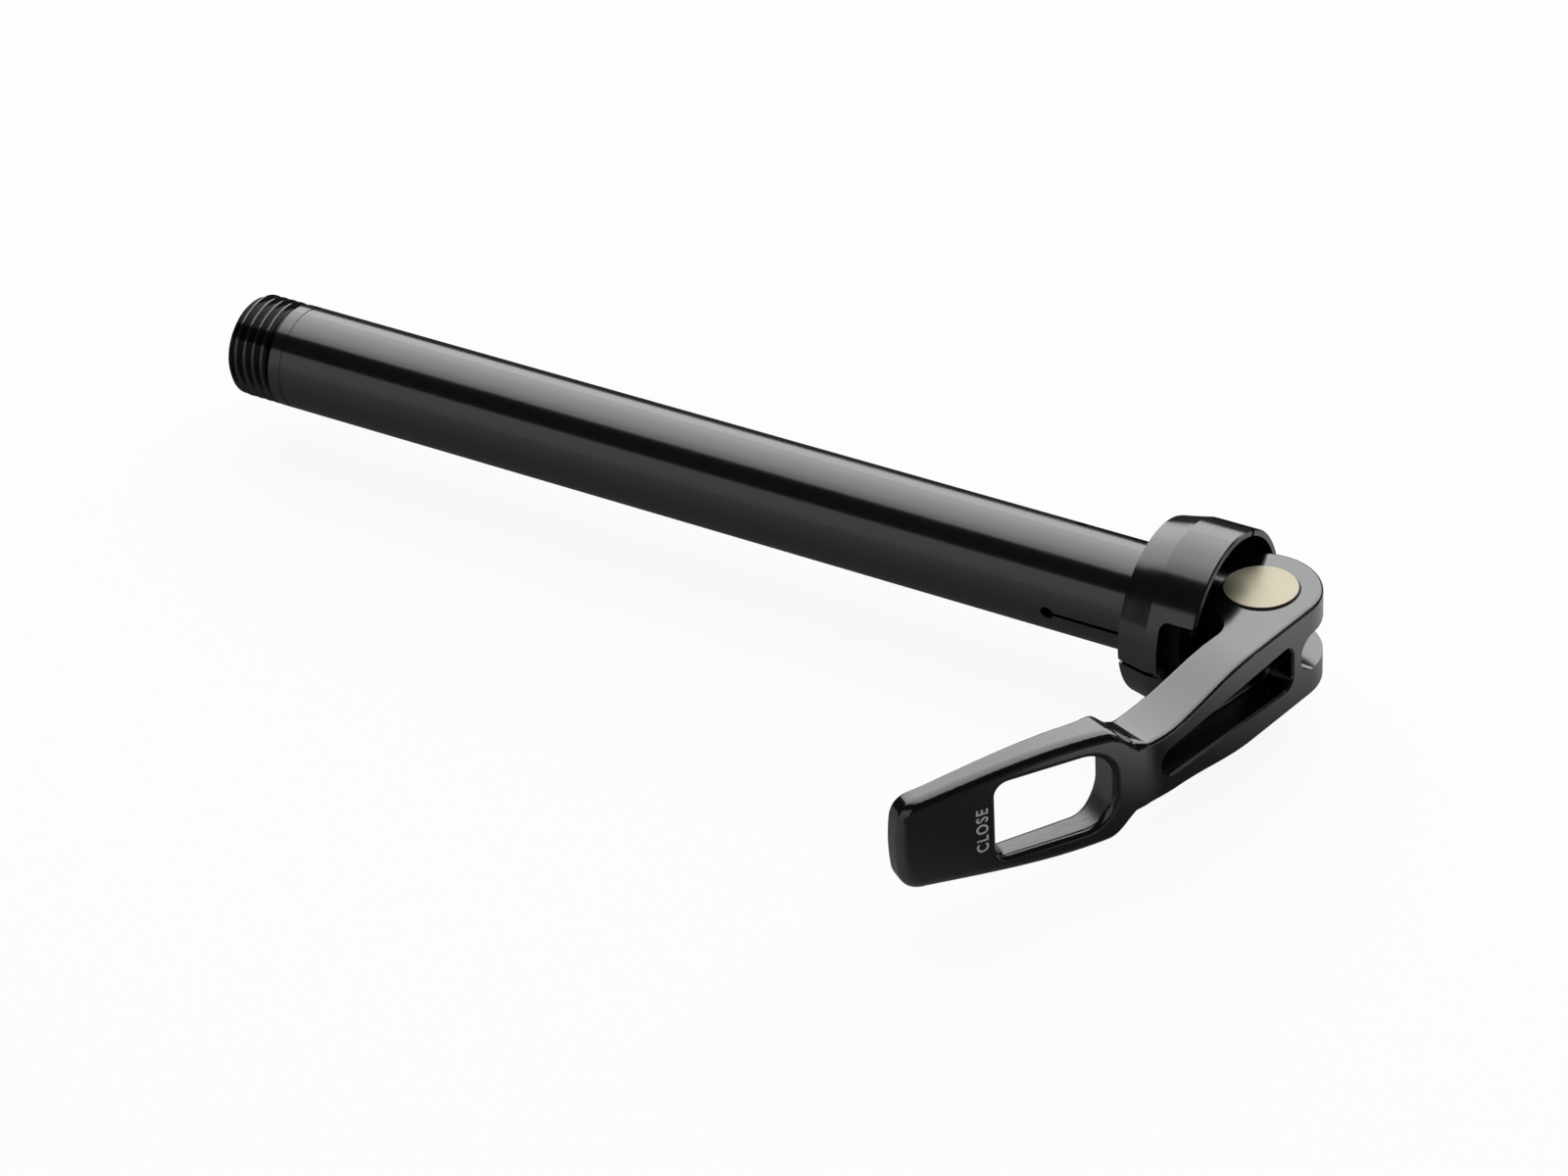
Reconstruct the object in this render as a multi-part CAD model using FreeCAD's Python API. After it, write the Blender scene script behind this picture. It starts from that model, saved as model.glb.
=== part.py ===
import FreeCAD
import Part
import math
import os
from FreeCAD import Vector

# Quick-release thru axle for a 100 mm fork, in millimetres.
# X runs along the axle. X = 0 is the face of the collar that seats on the fork leg,
# +X points out to the lever and -X to the threaded end.
# Z runs along the lever's barrel pin. The closed lever lies towards -Y.

# Axle tube: shank, thread and bore
SHANK_R = 7.5
AXLE_LENGTH = 148.4
THREAD_LENGTH = 7.6
THREAD_ROOT_R = 6.6
THREAD_CHAMFER = 0.5
RING_LINE_FROM_THREAD = 1.9
RING_LINE_WIDTH = 0.3
RING_LINE_DEPTH = 0.08
MOUTH_BORE_R = 5.0
MOUTH_BORE_DEPTH = 20.1
DEEP_BORE_R = 4.4
WEB_FROM_END = 15.0
WEB_THICKNESS = 3.0
WEB_HOLE_R = 2.55
END_BORE_R = 5.0
END_BORE_CHAMFER = 0.4

# Flared collar, split into three fingers
COLLAR_EDGE_R = 12.15
COLLAR_R = 13.06
CREASE_X = 4.37
RIM_X = 11.0
RIM_WALL = 0.9
RIM_CHAMFER = 0.2
CUP_FLOOR_X = 5.0
TAPER_START_X = -1.5
TAPER_END_R = 9.4
SLOT_ANGLE = 189.25
SLOT_SPREAD = 124.75
SLOT_SHANK_WIDTH = 0.5
SLOT_RIM_WIDTH = 0.75
KEYHOLE_X = -13.3
KEYHOLE_R = 0.95
NOTCH_FLOOR_X = 6.15
NOTCH_HALF_WIDTH = 7.8
NOTCH_CORNER_R = 1.2

# Lever head, barrel pin and cam
PIN_X = 14.95
PIN_R = 5.2
PIN_CLEARANCE = 0.04
PIN_PROUD = 0.3
PIN_CHAMFER = 0.24
CAM_R = 8.5
CAM_OFFSET = 0.55
CAM_OFFSET_ANGLE = 155.0
CAM_GAP = 0.25
HEAD_HALF_HEIGHT = 6.95
ROD_SLOT_HALF_WIDTH = 2.8
ROD_SLOT_START = -4.0
ROD_SLOT_END = 200.0

# Draw rod and tension nut
ROD_R = 2.25
ROD_RUN_CLEARANCE = 0.15
ROD_IN_PIN = 2.6
ROD_THREAD_FIT = 0.03
ROD_END_CHAMFER = 0.4
WASHER_R = 4.7
WASHER_THICKNESS = 0.8
NUT_R = 4.6
NUT_LENGTH = 8.8
NUT_THREAD_DEPTH = 5.4
NUT_CHAMFER = 0.3
SOCKET_ACROSS_FLATS = 6.0
SOCKET_DEPTH = 3.0
SEAL_WIRE_R = 0.6
SEAL_BORE_CLEARANCE = 0.04
SEAL_FROM_NUT_FACE = 4.3
SNAP_GROOVE_DEPTH = 0.4
SNAP_RING_THICKNESS = 0.8
SNAP_RING_WIDTH = 1.0
SNAP_RING_CLEARANCE = 0.05
SNAP_RING_GAP_ANGLE = 50.0
SNAP_RING_FROM_NUT = 0.5

# Expander cone, cam seat and return spring
CONE_FACE_X = 4.2
CONE_TAPER_CLEARANCE = 0.08
CONE_GUIDE_CLEARANCE = 0.07
CONE_TAIL_X = -9.0
SEAT_R = 8.6
SEAT_RIM_X = 7.2
SEAT_HOLLOW_R = 10.5
SPRING_WIRE_R = 0.45
SPRING_MEAN_R = 3.6
SPRING_TURNS = 5
SPRING_WASHER_THICKNESS = 0.6
SPRING_WASHER_CLEARANCE = 0.15
SPRING_SEAT_GAP = 0.05

# Lever outline seen along Z
HANDLE_ANGLE = 55.755
ARM_ANGLE = 81.425
NECK_OUTER_R = 22.0
NECK_INNER_R = 10.0
HANDLE_CORNER = (17.76, -34.87)
HANDLE_LENGTH = 36.05
PLATE_TIP_THICKNESS = 3.4
PLATE_NECK_THICKNESS = 4.7
PLATE_NECK_AT = 6.4
LIP_FROM_TIP = 6.0
LIP_DEPTH = 1.1
ARM_INNER_START = (10.6, -31.2)
ARM_INNER_ANGLE = 79.0
HEAD_FILLET_R = 4.0

# Lever heights seen from the side, as distance from the neck corner and height
TIP_HALF_HEIGHT = 6.8
TIP_SIDE_HEIGHT = 4.0
TIP_CORNER_R = 2.8
TIP_CROWN = 0.25
TIP_SIDE_PULL = (0.3, 1.6)
TIP_TOP_PULL = (1.2, 0.25)
HANDLE_TIP_POLE = (25.6, 7.65)
HANDLE_NECK_POLE = (15.6, 9.3)
SHOULDER = (6.6, 8.5)
SHOULDER_POLE = (4.4, 8.3)
HANDLE_WAIST_AT = 3.4
WAIST_AT = -0.5
WAIST_HALF_HEIGHT = 4.76
ARM_WAIST_AT = -9.4
ARM_SWELL_AT = -14.4
ARM_FLAT_AT = -21.4

# Lean of the side profile's lines towards the tip, for each millimetre behind the face
HANDLE_TIP_LEAN = 0.04
HANDLE_NECK_LEAN = 0.1
SHOULDER_LEAN = 0.2
WAIST_LEAN = 0.25

# Lever window, pocket and edges
WINDOW_NEAR = 5.9
WINDOW_FAR = 22.6
WINDOW_HALF_HEIGHT = 5.6
WINDOW_NECK_R = 4.4
WINDOW_TIP_R = 1.8
WINDOW_EDGE_R = 1.0
POCKET_HALF_HEIGHT = 3.3
POCKET_NECK_HALF_HEIGHT = 1.9
POCKET_FLOOR_WALL = 2.3
POCKET_HEAD_END = 4.1
POCKET_NECK_END = 32.6
POCKET_NECK_RAMP = 4.5
POCKET_CORNER_R = 1.7
POCKET_FLOOR_R = 0.6
POCKET_MOUTH_CHAMFER = 0.3
HANDLE_FACE_EDGE_R = 1.5
HANDLE_BACK_EDGE_R = 0.5
ARM_EDGE_R = 0.6
HANDLE_BLEND_AT = 3.0
ARM_BLEND_AT = 1.5
FACE_EDGE_DEPTH = 1.2

# How far a cutter runs past what it cuts, and how near counts as touching
PAST = 1.0
TOUCH = 1e-4


def direction(angle):
    """Unit vector in the XY plane at an angle in degrees from +X."""
    return Vector(math.cos(math.radians(angle)), math.sin(math.radians(angle)), 0)


def revolved(points):
    """Solid of revolution about X from (x, r) corners."""
    corners = [Vector(x, 0, r) for x, r in points]
    face = Part.Face(Part.makePolygon(corners + [corners[0]]))
    return face.revolve(Vector(0, 0, 0), Vector(1, 0, 0), 360)


def rod_along_x(x_start, x_end, radius):
    return Part.makeCylinder(radius, x_end - x_start, Vector(x_start, 0, 0), Vector(1, 0, 0))


def turned_about_x(shape, angle):
    copy = shape.copy()
    copy.rotate(Vector(0, 0, 0), Vector(1, 0, 0), angle)
    return copy


def circle_line_fillet(center, radius, point, along, side, fillet):
    """Centre and touch points of an outside fillet between a circle and a line."""
    base = point + side * fillet
    toward = base - center
    b = toward.dot(along)
    c = toward.dot(toward) - (radius + fillet) ** 2
    middle = base + along * (-b - math.sqrt(b * b - c))
    return middle, middle - side * fillet, center + (middle - center).normalize() * radius


def crossing(point_a, along_a, point_b, along_b):
    """Point where two lines in the XY plane meet."""
    across = Vector(-along_b.y, along_b.x, 0)
    return point_a + along_a * ((point_b - point_a).dot(across) / along_a.dot(across))


def corner_arc(corner, toward_first, toward_second, radius):
    """Tangent arc that rounds a corner, from its first side to its second."""
    half = toward_first.getAngle(toward_second) / 2
    reach = radius / math.tan(half)
    start = corner + toward_first * reach
    end = corner + toward_second * reach
    bisector = (toward_first + toward_second).normalize()
    middle = corner + bisector * (radius / math.sin(half) - radius)
    return start, middle, end


def rounded_wire(corners, radii):
    """Closed polygon whose corners are rounded, one radius for each corner."""
    count = len(corners)
    arcs = []
    for i in range(count):
        back = (corners[i - 1] - corners[i]).normalize()
        ahead = (corners[(i + 1) % count] - corners[i]).normalize()
        arcs.append(corner_arc(corners[i], back, ahead, radii[i]))
    edges = []
    for i in range(count):
        start, middle, end = arcs[i]
        edges.append(Part.Arc(start, middle, end).toShape())
        edges.append(Part.LineSegment(end, arcs[(i + 1) % count][0]).toShape())
    return Part.Wire(edges)


def rounded_prism(corners, radii, depth):
    return Part.Face(rounded_wire(corners, radii)).extrude(depth)


def bezier(poles):
    curve = Part.BezierCurve()
    curve.setPoles(poles)
    return curve.toShape()


# Values that follow from the sizes above
CAM_CENTER = Vector(PIN_X, 0, 0) + direction(CAM_OFFSET_ANGLE) * CAM_OFFSET
CUP_R = COLLAR_R - RIM_WALL
TAPER_SLOPE = (TAPER_END_R - MOUTH_BORE_R) / (CUP_FLOOR_X - TAPER_START_X)
THREAD_END_X = -AXLE_LENGTH
THREAD_START_X = THREAD_END_X + THREAD_LENGTH
WEB_X = THREAD_END_X + WEB_FROM_END
ROD_HOLE_R = ROD_R + ROD_RUN_CLEARANCE
NUT_FACE_X = WEB_X - WEB_THICKNESS - WASHER_THICKNESS
NUT_END_X = NUT_FACE_X - NUT_LENGTH
SNAP_RING_X = NUT_END_X - SNAP_RING_FROM_NUT
SPRING_SEAT_X = -MOUTH_BORE_DEPTH


def axle_tube():
    """Turned shank and collar with its bores, thread core, saw slots and drive notch."""
    line_x = THREAD_START_X + RING_LINE_FROM_THREAD
    outside = revolved([
        (THREAD_END_X, 0),
        (THREAD_END_X, THREAD_ROOT_R),
        (THREAD_START_X - THREAD_CHAMFER, THREAD_ROOT_R),
        (THREAD_START_X - THREAD_CHAMFER, SHANK_R - THREAD_CHAMFER),
        (THREAD_START_X, SHANK_R),
        (line_x, SHANK_R),
        (line_x, SHANK_R - RING_LINE_DEPTH),
        (line_x + RING_LINE_WIDTH, SHANK_R - RING_LINE_DEPTH),
        (line_x + RING_LINE_WIDTH, SHANK_R),
        (0, SHANK_R),
        (0, COLLAR_EDGE_R),
        (CREASE_X, COLLAR_R),
        (RIM_X - RIM_CHAMFER, COLLAR_R),
        (RIM_X, COLLAR_R - RIM_CHAMFER),
        (RIM_X, 0),
    ])
    web_end_x = WEB_X - WEB_THICKNESS
    inside = revolved([
        (THREAD_END_X - PAST, 0),
        (THREAD_END_X - PAST, END_BORE_R + END_BORE_CHAMFER + PAST),
        (THREAD_END_X, END_BORE_R + END_BORE_CHAMFER),
        (THREAD_END_X + END_BORE_CHAMFER, END_BORE_R),
        (web_end_x, END_BORE_R),
        (web_end_x, WEB_HOLE_R),
        (WEB_X, WEB_HOLE_R),
        (WEB_X, DEEP_BORE_R),
        (-MOUTH_BORE_DEPTH, DEEP_BORE_R),
        (-MOUTH_BORE_DEPTH, MOUTH_BORE_R),
        (TAPER_START_X, MOUTH_BORE_R),
        (CUP_FLOOR_X, TAPER_END_R),
        (CUP_FLOOR_X, CUP_R),
        (RIM_X + PAST, CUP_R),
        (RIM_X + PAST, 0),
    ])
    groove_r = END_BORE_R + SNAP_GROOVE_DEPTH
    groove = rod_along_x(SNAP_RING_X - SNAP_RING_THICKNESS - SNAP_RING_CLEARANCE,
                         SNAP_RING_X + SNAP_RING_CLEARANCE, groove_r)
    body = outside.cut(inside).cut(groove)
    return body.cut(collar_cuts())


def collar_cuts():
    """Saw slots with their keyholes, and the notch milled in the rim."""
    tools = []
    reach = COLLAR_R + PAST
    slot = Part.Face(Part.makePolygon([
        Vector(KEYHOLE_X, -SLOT_SHANK_WIDTH / 2, 0),
        Vector(RIM_X + PAST, -SLOT_RIM_WIDTH / 2, 0),
        Vector(RIM_X + PAST, SLOT_RIM_WIDTH / 2, 0),
        Vector(KEYHOLE_X, SLOT_SHANK_WIDTH / 2, 0),
        Vector(KEYHOLE_X, -SLOT_SHANK_WIDTH / 2, 0),
    ])).extrude(Vector(0, 0, reach))
    keyhole = Part.makeCylinder(KEYHOLE_R, reach, Vector(KEYHOLE_X, 0, 0), Vector(0, 0, 1))
    for i in (-1, 0, 1):
        angle = SLOT_ANGLE - 90 + i * SLOT_SPREAD
        tools.append(turned_about_x(slot, angle))
        tools.append(turned_about_x(keyhole, angle))
    far_x = RIM_X + NOTCH_CORNER_R + PAST
    half = NOTCH_HALF_WIDTH
    notch = rounded_prism(
        [Vector(NOTCH_FLOOR_X, -half, 0), Vector(far_x, -half, 0),
         Vector(far_x, half, 0), Vector(NOTCH_FLOOR_X, half, 0)],
        [NOTCH_CORNER_R] * 4, Vector(0, 0, reach))
    tools.append(turned_about_x(notch, SLOT_ANGLE - 90))
    return tools


def expander_cone():
    """Wedge that the cam drives into the taper of the collar."""
    setback = CONE_TAPER_CLEARANCE * math.sqrt(1 + TAPER_SLOPE ** 2)
    guide_r = MOUTH_BORE_R - CONE_GUIDE_CLEARANCE
    face_r = MOUTH_BORE_R + (CONE_FACE_X - TAPER_START_X) * TAPER_SLOPE - setback
    taper_x = TAPER_START_X + (guide_r + setback - MOUTH_BORE_R) / TAPER_SLOPE
    return revolved([
        (CONE_TAIL_X, ROD_HOLE_R),
        (CONE_TAIL_X, guide_r),
        (taper_x, guide_r),
        (CONE_FACE_X, face_r),
        (CONE_FACE_X, ROD_HOLE_R),
    ])


def cam_seat():
    """Bearing puck on the cone, hollowed for the cam of the lever."""
    puck = rod_along_x(CONE_FACE_X, SEAT_RIM_X, SEAT_R)
    hole = rod_along_x(CONE_FACE_X - PAST, SEAT_RIM_X + PAST, ROD_HOLE_R)
    hollow_x = CAM_CENTER.x - CAM_R - CAM_GAP + SEAT_HOLLOW_R
    hollow = Part.makeCylinder(SEAT_HOLLOW_R, 2 * COLLAR_R, Vector(hollow_x, 0, -COLLAR_R))
    return puck.cut([hole, hollow])


def return_spring():
    """Coil spring that pushes the cone out when the lever opens."""
    low_x = SPRING_SEAT_X + SPRING_WASHER_THICKNESS + SPRING_WIRE_R + SPRING_SEAT_GAP
    high_x = CONE_TAIL_X - SPRING_WIRE_R - SPRING_SEAT_GAP
    height = high_x - low_x
    helix = Part.makeHelix(height / SPRING_TURNS, height, SPRING_MEAN_R)
    ring = Part.Wire(Part.makeCircle(SPRING_WIRE_R, Vector(SPRING_MEAN_R, 0, 0), Vector(0, 1, 0)))
    coil = Part.Wire(helix).makePipeShell([ring], True, True)
    coil.rotate(Vector(0, 0, 0), Vector(0, 1, 0), 90)
    coil.translate(Vector(low_x, 0, 0))
    return coil


def washer(x_start, thickness, outer_r, hole_r):
    ring = rod_along_x(x_start, x_start + thickness, outer_r)
    return ring.cut(rod_along_x(x_start - PAST, x_start + thickness + PAST, hole_r))


def draw_rod():
    """Rod that ties the barrel pin to the tension nut."""
    start = NUT_FACE_X - NUT_THREAD_DEPTH
    end = PIN_X + ROD_IN_PIN
    return revolved([
        (start, 0),
        (start, ROD_R - ROD_END_CHAMFER),
        (start + ROD_END_CHAMFER, ROD_R),
        (end - ROD_END_CHAMFER, ROD_R),
        (end, ROD_R - ROD_END_CHAMFER),
        (end, 0),
    ])


def barrel_pin():
    """Cross pin of the lever, tapped through one side for the draw rod."""
    half = HEAD_HALF_HEIGHT + PIN_PROUD
    pin = Part.makeCylinder(PIN_R, 2 * half, Vector(PIN_X, 0, -half))
    rims = [edge for edge in pin.Edges if abs(abs(edge.CenterOfMass.z) - half) < 1e-6]
    pin = pin.makeChamfer(PIN_CHAMFER, rims)
    tapping = rod_along_x(PIN_X - PIN_R - PAST, PIN_X + ROD_IN_PIN + ROD_END_CHAMFER,
                          ROD_R + ROD_THREAD_FIT)
    return pin.cut(tapping)


def hex_prism(x_start, x_end, across_flats):
    radius = across_flats / math.sqrt(3)
    corners = []
    for i in range(7):
        angle = math.radians(60 * i)
        corners.append(Vector(x_start, radius * math.cos(angle), radius * math.sin(angle)))
    return Part.Face(Part.makePolygon(corners)).extrude(Vector(x_end - x_start, 0, 0))


def tension_nut():
    """Sleeve nut that sets the lever's tension through a hexagon socket."""
    seal_x = NUT_FACE_X - SEAL_FROM_NUT_FACE
    seal_groove_r = END_BORE_R - SEAL_BORE_CLEARANCE - 2 * SEAL_WIRE_R
    body = revolved([
        (NUT_END_X, 0),
        (NUT_END_X, NUT_R - NUT_CHAMFER),
        (NUT_END_X + NUT_CHAMFER, NUT_R),
        (seal_x - SEAL_WIRE_R, NUT_R),
        (seal_x - SEAL_WIRE_R, seal_groove_r),
        (seal_x + SEAL_WIRE_R, seal_groove_r),
        (seal_x + SEAL_WIRE_R, NUT_R),
        (NUT_FACE_X, NUT_R),
        (NUT_FACE_X, 0),
    ])
    thread = rod_along_x(NUT_FACE_X - NUT_THREAD_DEPTH, NUT_FACE_X + PAST, ROD_R + ROD_THREAD_FIT)
    socket = hex_prism(NUT_END_X - PAST, NUT_END_X + SOCKET_DEPTH, SOCKET_ACROSS_FLATS)
    return body.cut([thread, socket])


def seal_ring():
    """O-ring that keeps water out and holds the nut where it is set."""
    x = NUT_FACE_X - SEAL_FROM_NUT_FACE
    mean_r = END_BORE_R - SEAL_BORE_CLEARANCE - SEAL_WIRE_R
    return Part.makeTorus(mean_r, SEAL_WIRE_R, Vector(x, 0, 0), Vector(1, 0, 0))


def retaining_ring():
    """Snap ring that keeps the nut in the tube."""
    outer_r = END_BORE_R + SNAP_GROOVE_DEPTH - SNAP_RING_CLEARANCE
    ring = washer(SNAP_RING_X - SNAP_RING_THICKNESS, SNAP_RING_THICKNESS,
                  outer_r, outer_r - SNAP_RING_WIDTH)
    half = math.radians(SNAP_RING_GAP_ANGLE / 2)
    x = SNAP_RING_X - SNAP_RING_THICKNESS - PAST
    reach = 2 * outer_r
    gap = Part.Face(Part.makePolygon([
        Vector(x, 0, 0),
        Vector(x, -reach * math.sin(half), -reach * math.cos(half)),
        Vector(x, reach * math.sin(half), -reach * math.cos(half)),
        Vector(x, 0, 0),
    ])).extrude(Vector(SNAP_RING_THICKNESS + 2 * PAST, 0, 0))
    return ring.cut(gap)


# Directions and corners of the lever's outline
HANDLE_ALONG = direction(HANDLE_ANGLE)
HANDLE_OUT = direction(HANDLE_ANGLE - 90)
ARM_ALONG = direction(ARM_ANGLE)
ARM_OUT = direction(ARM_ANGLE - 90)
ARM_INNER_ALONG = direction(ARM_INNER_ANGLE)
ARM_INNER_SIDE = direction(ARM_INNER_ANGLE + 90)
NECK = Vector(HANDLE_CORNER[0], HANDLE_CORNER[1], 0)
ARM_TOP = CAM_CENTER + ARM_OUT * CAM_R
NECK_CORNER = crossing(ARM_TOP, ARM_ALONG, NECK, HANDLE_ALONG)


def on_handle(distance, depth=0.0, height=0.0):
    """Point at a distance from the neck corner along the handle, and a depth behind its face."""
    flat = NECK_CORNER - HANDLE_ALONG * distance - HANDLE_OUT * depth
    return Vector(flat.x, flat.y, height)


def on_arm(distance, depth=0.0, height=0.0):
    """Point at a distance from the head's tangent point along the arm, and a depth behind its face."""
    flat = ARM_TOP - ARM_ALONG * distance - ARM_OUT * depth
    return Vector(flat.x, flat.y, height)


WAIST_LINE = (HANDLE_OUT + HANDLE_ALONG * WAIST_LEAN).normalize()
PARTING_NORMAL = Vector(-WAIST_LINE.y, WAIST_LINE.x, 0)


def lever_outline():
    """Outline of the lever seen along Z, as a prism taller than the lever."""
    inner = Vector(ARM_INNER_START[0], ARM_INNER_START[1], 0)
    fillet_center, inner_top, head_touch = circle_line_fillet(
        CAM_CENTER, CAM_R, inner, ARM_INNER_ALONG, ARM_INNER_SIDE, HEAD_FILLET_R)
    toward_gap = (inner_top + head_touch) / 2 - fillet_center
    fillet_middle = fillet_center + toward_gap.normalize() * HEAD_FILLET_R
    head_middle = CAM_CENTER + direction(CAM_OFFSET_ANGLE - 70) * CAM_R

    past_tip = HANDLE_LENGTH + TIP_CROWN + PAST
    front_tip = on_handle(past_tip)
    lip_start = on_handle(past_tip - LIP_FROM_TIP, PLATE_TIP_THICKNESS)
    back_neck = on_handle(PLATE_NECK_AT, PLATE_NECK_THICKNESS)
    back_along = (back_neck - lip_start).normalize()
    lip_middle = lip_start - back_along * LIP_FROM_TIP / 2
    lip_end = lip_start - back_along * LIP_FROM_TIP - HANDLE_OUT * LIP_DEPTH
    inner_corner = crossing(lip_start, back_along, inner, ARM_INNER_ALONG)

    neck_outer = corner_arc(NECK_CORNER, ARM_ALONG, HANDLE_ALONG * -1, NECK_OUTER_R)
    neck_inner = corner_arc(inner_corner, back_along * -1, ARM_INNER_ALONG, NECK_INNER_R)

    edges = [
        Part.LineSegment(ARM_TOP, neck_outer[0]).toShape(),
        Part.Arc(*neck_outer).toShape(),
        Part.LineSegment(neck_outer[2], front_tip).toShape(),
        Part.LineSegment(front_tip, lip_end).toShape(),
        bezier([lip_end, lip_middle, lip_start]),
        Part.LineSegment(lip_start, neck_inner[0]).toShape(),
        Part.Arc(*neck_inner).toShape(),
        Part.LineSegment(neck_inner[2], inner_top).toShape(),
        Part.Arc(inner_top, fillet_middle, head_touch).toShape(),
        Part.Arc(head_touch, head_middle, ARM_TOP).toShape(),
    ]
    face = Part.Face(Part.Wire(edges))
    height = 4 * SHOULDER[1]
    face.translate(Vector(0, 0, -height / 2))
    return face.extrude(Vector(0, 0, height))


def height_profile(depth):
    """Closed side profile of the lever at a depth behind its face, which leans with depth."""
    def spot(distance, height, lean=0.0):
        return on_handle(distance + lean * depth, depth, height)

    head_end = ARM_FLAT_AT - 3 * CAM_R
    edges = [
        Part.Arc(spot(HANDLE_LENGTH, -TIP_SIDE_HEIGHT), spot(HANDLE_LENGTH + TIP_CROWN, 0),
                 spot(HANDLE_LENGTH, TIP_SIDE_HEIGHT)).toShape(),
        Part.LineSegment(spot(head_end, HEAD_HALF_HEIGHT, WAIST_LEAN),
                         spot(head_end, -HEAD_HALF_HEIGHT, WAIST_LEAN)).toShape(),
    ]
    for side in (1, -1):
        crown_end = spot(HANDLE_LENGTH, side * TIP_SIDE_HEIGHT)
        tip_side = spot(HANDLE_LENGTH - TIP_SIDE_PULL[0], side * (TIP_SIDE_HEIGHT + TIP_SIDE_PULL[1]))
        tip_top = spot(HANDLE_LENGTH - TIP_TOP_PULL[0], side * (TIP_HALF_HEIGHT - TIP_TOP_PULL[1]))
        tip_end = spot(HANDLE_LENGTH - TIP_CORNER_R, side * TIP_HALF_HEIGHT)
        tip_pole = spot(HANDLE_TIP_POLE[0], side * HANDLE_TIP_POLE[1], HANDLE_TIP_LEAN)
        neck_pole = spot(HANDLE_NECK_POLE[0], side * HANDLE_NECK_POLE[1], HANDLE_NECK_LEAN)
        shoulder = spot(SHOULDER[0], side * SHOULDER[1], SHOULDER_LEAN)
        shoulder_pole = spot(SHOULDER_POLE[0], side * SHOULDER_POLE[1], SHOULDER_LEAN)
        handle_waist = spot(HANDLE_WAIST_AT, side * WAIST_HALF_HEIGHT, WAIST_LEAN)
        waist = spot(WAIST_AT, side * WAIST_HALF_HEIGHT, WAIST_LEAN)
        arm_waist = spot(ARM_WAIST_AT, side * WAIST_HALF_HEIGHT, WAIST_LEAN)
        arm_swell = spot(ARM_SWELL_AT, side * HEAD_HALF_HEIGHT, WAIST_LEAN)
        arm_flat = spot(ARM_FLAT_AT, side * HEAD_HALF_HEIGHT, WAIST_LEAN)
        head_top = spot(head_end, side * HEAD_HALF_HEIGHT, WAIST_LEAN)
        edges += [
            bezier([crown_end, tip_side, tip_top, tip_end]),
            bezier([tip_end, tip_pole, neck_pole, shoulder]),
            bezier([shoulder, shoulder_pole, handle_waist, waist]),
            bezier([waist, arm_waist, arm_swell, arm_flat]),
            Part.LineSegment(arm_flat, head_top).toShape(),
        ]
    return Part.Wire(Part.__sortEdges__(edges))


def lever_heights():
    """Solid between the side profiles before the lever's face and behind its back."""
    return Part.makeLoft([height_profile(-2 * CAM_R), height_profile(4 * CAM_R)], True, True)


def upright(face):
    """True where a face runs straight up along Z."""
    u_low, u_high, v_low, v_high = face.ParameterRange
    spots = [(0.25, 0.25), (0.5, 0.5), (0.75, 0.75)]
    normals = [face.normalAt(u_low + (u_high - u_low) * a, v_low + (v_high - v_low) * b)
               for a, b in spots]
    return all(abs(normal.z) < 1e-6 for normal in normals)


def borders(edge, faces):
    return any(edge.isSame(other) for face in faces for other in face.Edges)


def parted(blank, offset, keep_tip):
    """The part of the blank on one side of an upright plane beside the waist."""
    reach = 4 * abs(ARM_FLAT_AT)
    middle = on_handle(WAIST_AT + offset)
    corners = [middle + WAIST_LINE * across + Vector(0, 0, up)
               for across, up in ((-reach, -reach), (reach, -reach), (reach, reach), (-reach, reach))]
    tip_side = Part.Face(Part.makePolygon(corners + [corners[0]])).extrude(HANDLE_ALONG * -reach)
    return blank.common(tip_side) if keep_tip else blank.cut(tip_side)


def parting_face(shape, offset):
    """The flat face that parting left beside the waist."""
    middle = on_handle(WAIST_AT + offset)
    for face in shape.Faces:
        away = (face.CenterOfMass - middle).dot(PARTING_NORMAL)
        if upright(face) and abs(face.normalAt(0, 0).dot(PARTING_NORMAL)) > 0.9999 and abs(away) < TOUCH:
            return face


def outline_edges(shape, offset):
    """Edges between the lever's side walls and its top, underside and tip, where it isn't parted."""
    walls = [face for face in shape.Faces if upright(face)]
    crowns = [face for face in shape.Faces if not upright(face)]
    parting = [parting_face(shape, offset)]
    return [edge for edge in shape.Edges
            if borders(edge, walls) and borders(edge, crowns) and not borders(edge, parting)]


def depth_behind_face(point):
    on_plan = Vector(point.x, point.y, 0)
    return min((NECK_CORNER - on_plan).dot(HANDLE_OUT), (NECK_CORNER - on_plan).dot(ARM_OUT))


def handle_end(blank):
    """Handle with a wide edge round its face, a narrow one round its back, and its window."""
    shape = parted(blank, HANDLE_BLEND_AT, True)
    face_edges = [edge for edge in outline_edges(shape, HANDLE_BLEND_AT)
                  if depth_behind_face(middle_of(edge)) < FACE_EDGE_DEPTH]
    shape = shape.makeFillet(HANDLE_FACE_EDGE_R, face_edges)
    back_edges = [edge for edge in outline_edges(shape, HANDLE_BLEND_AT)
                  if depth_behind_face(middle_of(edge)) >= FACE_EDGE_DEPTH]
    shape = shape.makeFillet(HANDLE_BACK_EDGE_R, back_edges).cut(window())
    return shape.makeFillet(WINDOW_EDGE_R, rims_left_by(window(), shape, HANDLE_OUT))


def head_end(blank):
    """Arm and head with their edges rounded alike."""
    shape = parted(blank, ARM_BLEND_AT, False)
    return shape.makeFillet(ARM_EDGE_R, outline_edges(shape, ARM_BLEND_AT))


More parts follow.
